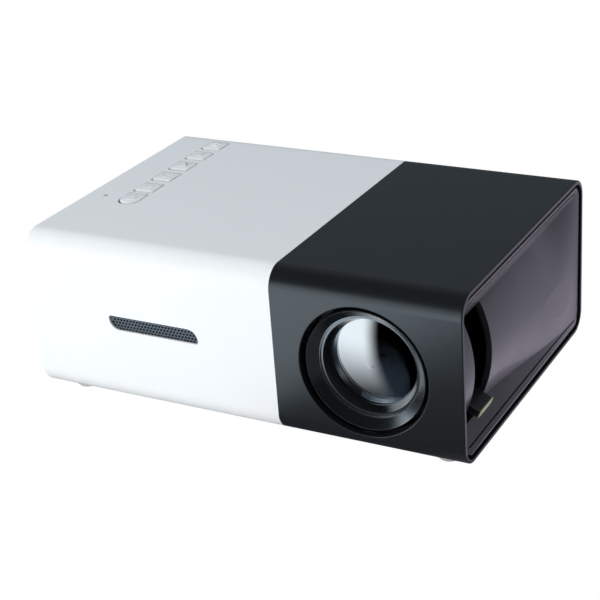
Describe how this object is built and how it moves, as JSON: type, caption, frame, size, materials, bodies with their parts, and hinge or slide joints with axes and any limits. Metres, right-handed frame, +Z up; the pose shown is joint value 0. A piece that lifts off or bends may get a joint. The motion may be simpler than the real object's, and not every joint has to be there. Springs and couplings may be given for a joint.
{
  "type": "home projector",
  "caption": "Pocket LED home projector: two-tone box case, lens with focus tab, key row, grille, fan and light engine inside.",
  "frame": {"origin": "middle of the footprint on the floor, under the feet", "axes": "+X along the length to the lens end, -Y out of the front face that the lens looks out of, +Z up"},
  "size_m": [0.126, 0.086, 0.0485],
  "materials": {
    "white_plastic": "fine matte moulded plastic",
    "black_plastic": "fine matte moulded plastic",
    "panel_plastic": "satin moulded plastic",
    "grille_metal": "perforated painted sheet",
    "engine_plastic": "plain moulded plastic",
    "marker": "pale yellow-green strip",
    "pin_steel": "machined",
    "lens_glass": "coated optical glass",
    "mirror": "front-coated mirror",
    "display": "dark gloss",
    "led": "phosphor",
    "board_green": "solder mask",
    "aluminium": "extruded",
    "socket_steel": "plated sheet",
    "socket_plastic": "moulded",
    "ribbon": "film",
    "light_pipe": "clear moulded",
    "foot_rubber": "soft translucent rubber",
    "brass": "turned"
  },
  "bodies": {
    "projector_body": {"white_upper_shell": "white_plastic", "white_base": "white_plastic", "black_upper_shell": "black_plastic", "black_base": "black_plastic", "lens_holder": "black_plastic", "fan_housing": "black_plastic", "right_side_panel": "panel_plastic", "left_end_panel": "panel_plastic", "front_grille_mesh": "grille_metal", "light_housing": "engine_plastic", "light_housing_lid": "engine_plastic", "speaker_frame": "engine_plastic", "board_components": "engine_plastic", "key_switches": "engine_plastic", "remote_receiver": "engine_plastic", "base_screws": "pin_steel", "board_screws": "pin_steel", "condenser_lens": "lens_glass", "heat_glass": "lens_glass", "rear_field_lens": "lens_glass", "front_field_lens": "lens_glass", "fold_mirror": "mirror", "display_panel": "display", "receiver_window": "display", "led_chip": "led", "main_board": "board_green", "key_board": "board_green", "led_board": "board_green", "heat_sink": "aluminium", "hdmi_socket": "socket_steel", "usb_socket": "socket_steel", "card_socket": "socket_steel", "speaker_magnet": "socket_steel", "headphone_jack": "socket_plastic", "av_jack": "socket_plastic", "power_inlet": "socket_plastic", "display_ribbon": "ribbon", "speaker_cone": "ribbon", "status_light_pipe": "light_pipe", "feet": "foot_rubber", "tripod_nut": "brass"},
    "lens_carriage": {"lens_barrel": "black_plastic", "focus_ring_clip": "black_plastic", "guide_pins": "pin_steel", "lens_retaining_ring": "black_plastic", "lens_spacers": "black_plastic", "front_lens": "lens_glass", "middle_lens": "lens_glass", "rear_lens": "lens_glass"},
    "focus_dial": {"focus_ring": "black_plastic", "focus_tab_marker": "marker"},
    "fan_wheel": {"fan_rotor": "black_plastic"},
    "power_key_cap": {"power_key": "white_plastic"},
    "back_key_cap": {"back_key": "white_plastic"},
    "left_key_cap": {"left_key": "white_plastic"},
    "select_key_cap": {"select_key": "white_plastic"},
    "right_key_cap": {"right_key": "white_plastic"},
    "menu_key_cap": {"menu_key": "white_plastic"}
  },
  "joints": [
    {"name": "lens_travel", "type": "slide", "parent": "projector_body", "child": "lens_carriage", "axis": [0, -1, 0], "range_m": [0, 0.002]},
    {"name": "focus_turn", "type": "hinge", "parent": "lens_carriage", "child": "focus_dial", "pos_m": [0.0364, -0.028, 0.0242], "axis": [0, -1, 0], "range_deg": [0, 49]},
    {"name": "fan_spin", "type": "hinge", "parent": "projector_body", "child": "fan_wheel", "pos_m": [-0.0535, 0.006, 0.0225], "axis": [1, 0, 0], "continuous": true},
    {"name": "power_key_press", "type": "slide", "parent": "projector_body", "child": "power_key_cap", "axis": [0, 0, -1], "range_m": [0, 0.0004], "stiffness_N_per_m": 1500, "springref_m": -0.0003},
    {"name": "back_key_press", "type": "slide", "parent": "projector_body", "child": "back_key_cap", "axis": [0, 0, -1], "range_m": [0, 0.0004], "stiffness_N_per_m": 1500, "springref_m": -0.0003},
    {"name": "left_key_press", "type": "slide", "parent": "projector_body", "child": "left_key_cap", "axis": [0, 0, -1], "range_m": [0, 0.0004], "stiffness_N_per_m": 1500, "springref_m": -0.0003},
    {"name": "select_key_press", "type": "slide", "parent": "projector_body", "child": "select_key_cap", "axis": [0, 0, -1], "range_m": [0, 0.0004], "stiffness_N_per_m": 1500, "springref_m": -0.0003},
    {"name": "right_key_press", "type": "slide", "parent": "projector_body", "child": "right_key_cap", "axis": [0, 0, -1], "range_m": [0, 0.0004], "stiffness_N_per_m": 1500, "springref_m": -0.0003},
    {"name": "menu_key_press", "type": "slide", "parent": "projector_body", "child": "menu_key_cap", "axis": [0, 0, -1], "range_m": [0, 0.0004], "stiffness_N_per_m": 1500, "springref_m": -0.0003}
  ],
  "couplings": [
    {"joint": "focus_turn", "follows": "lens_travel", "rad_per_m": 427.6}
  ]
}
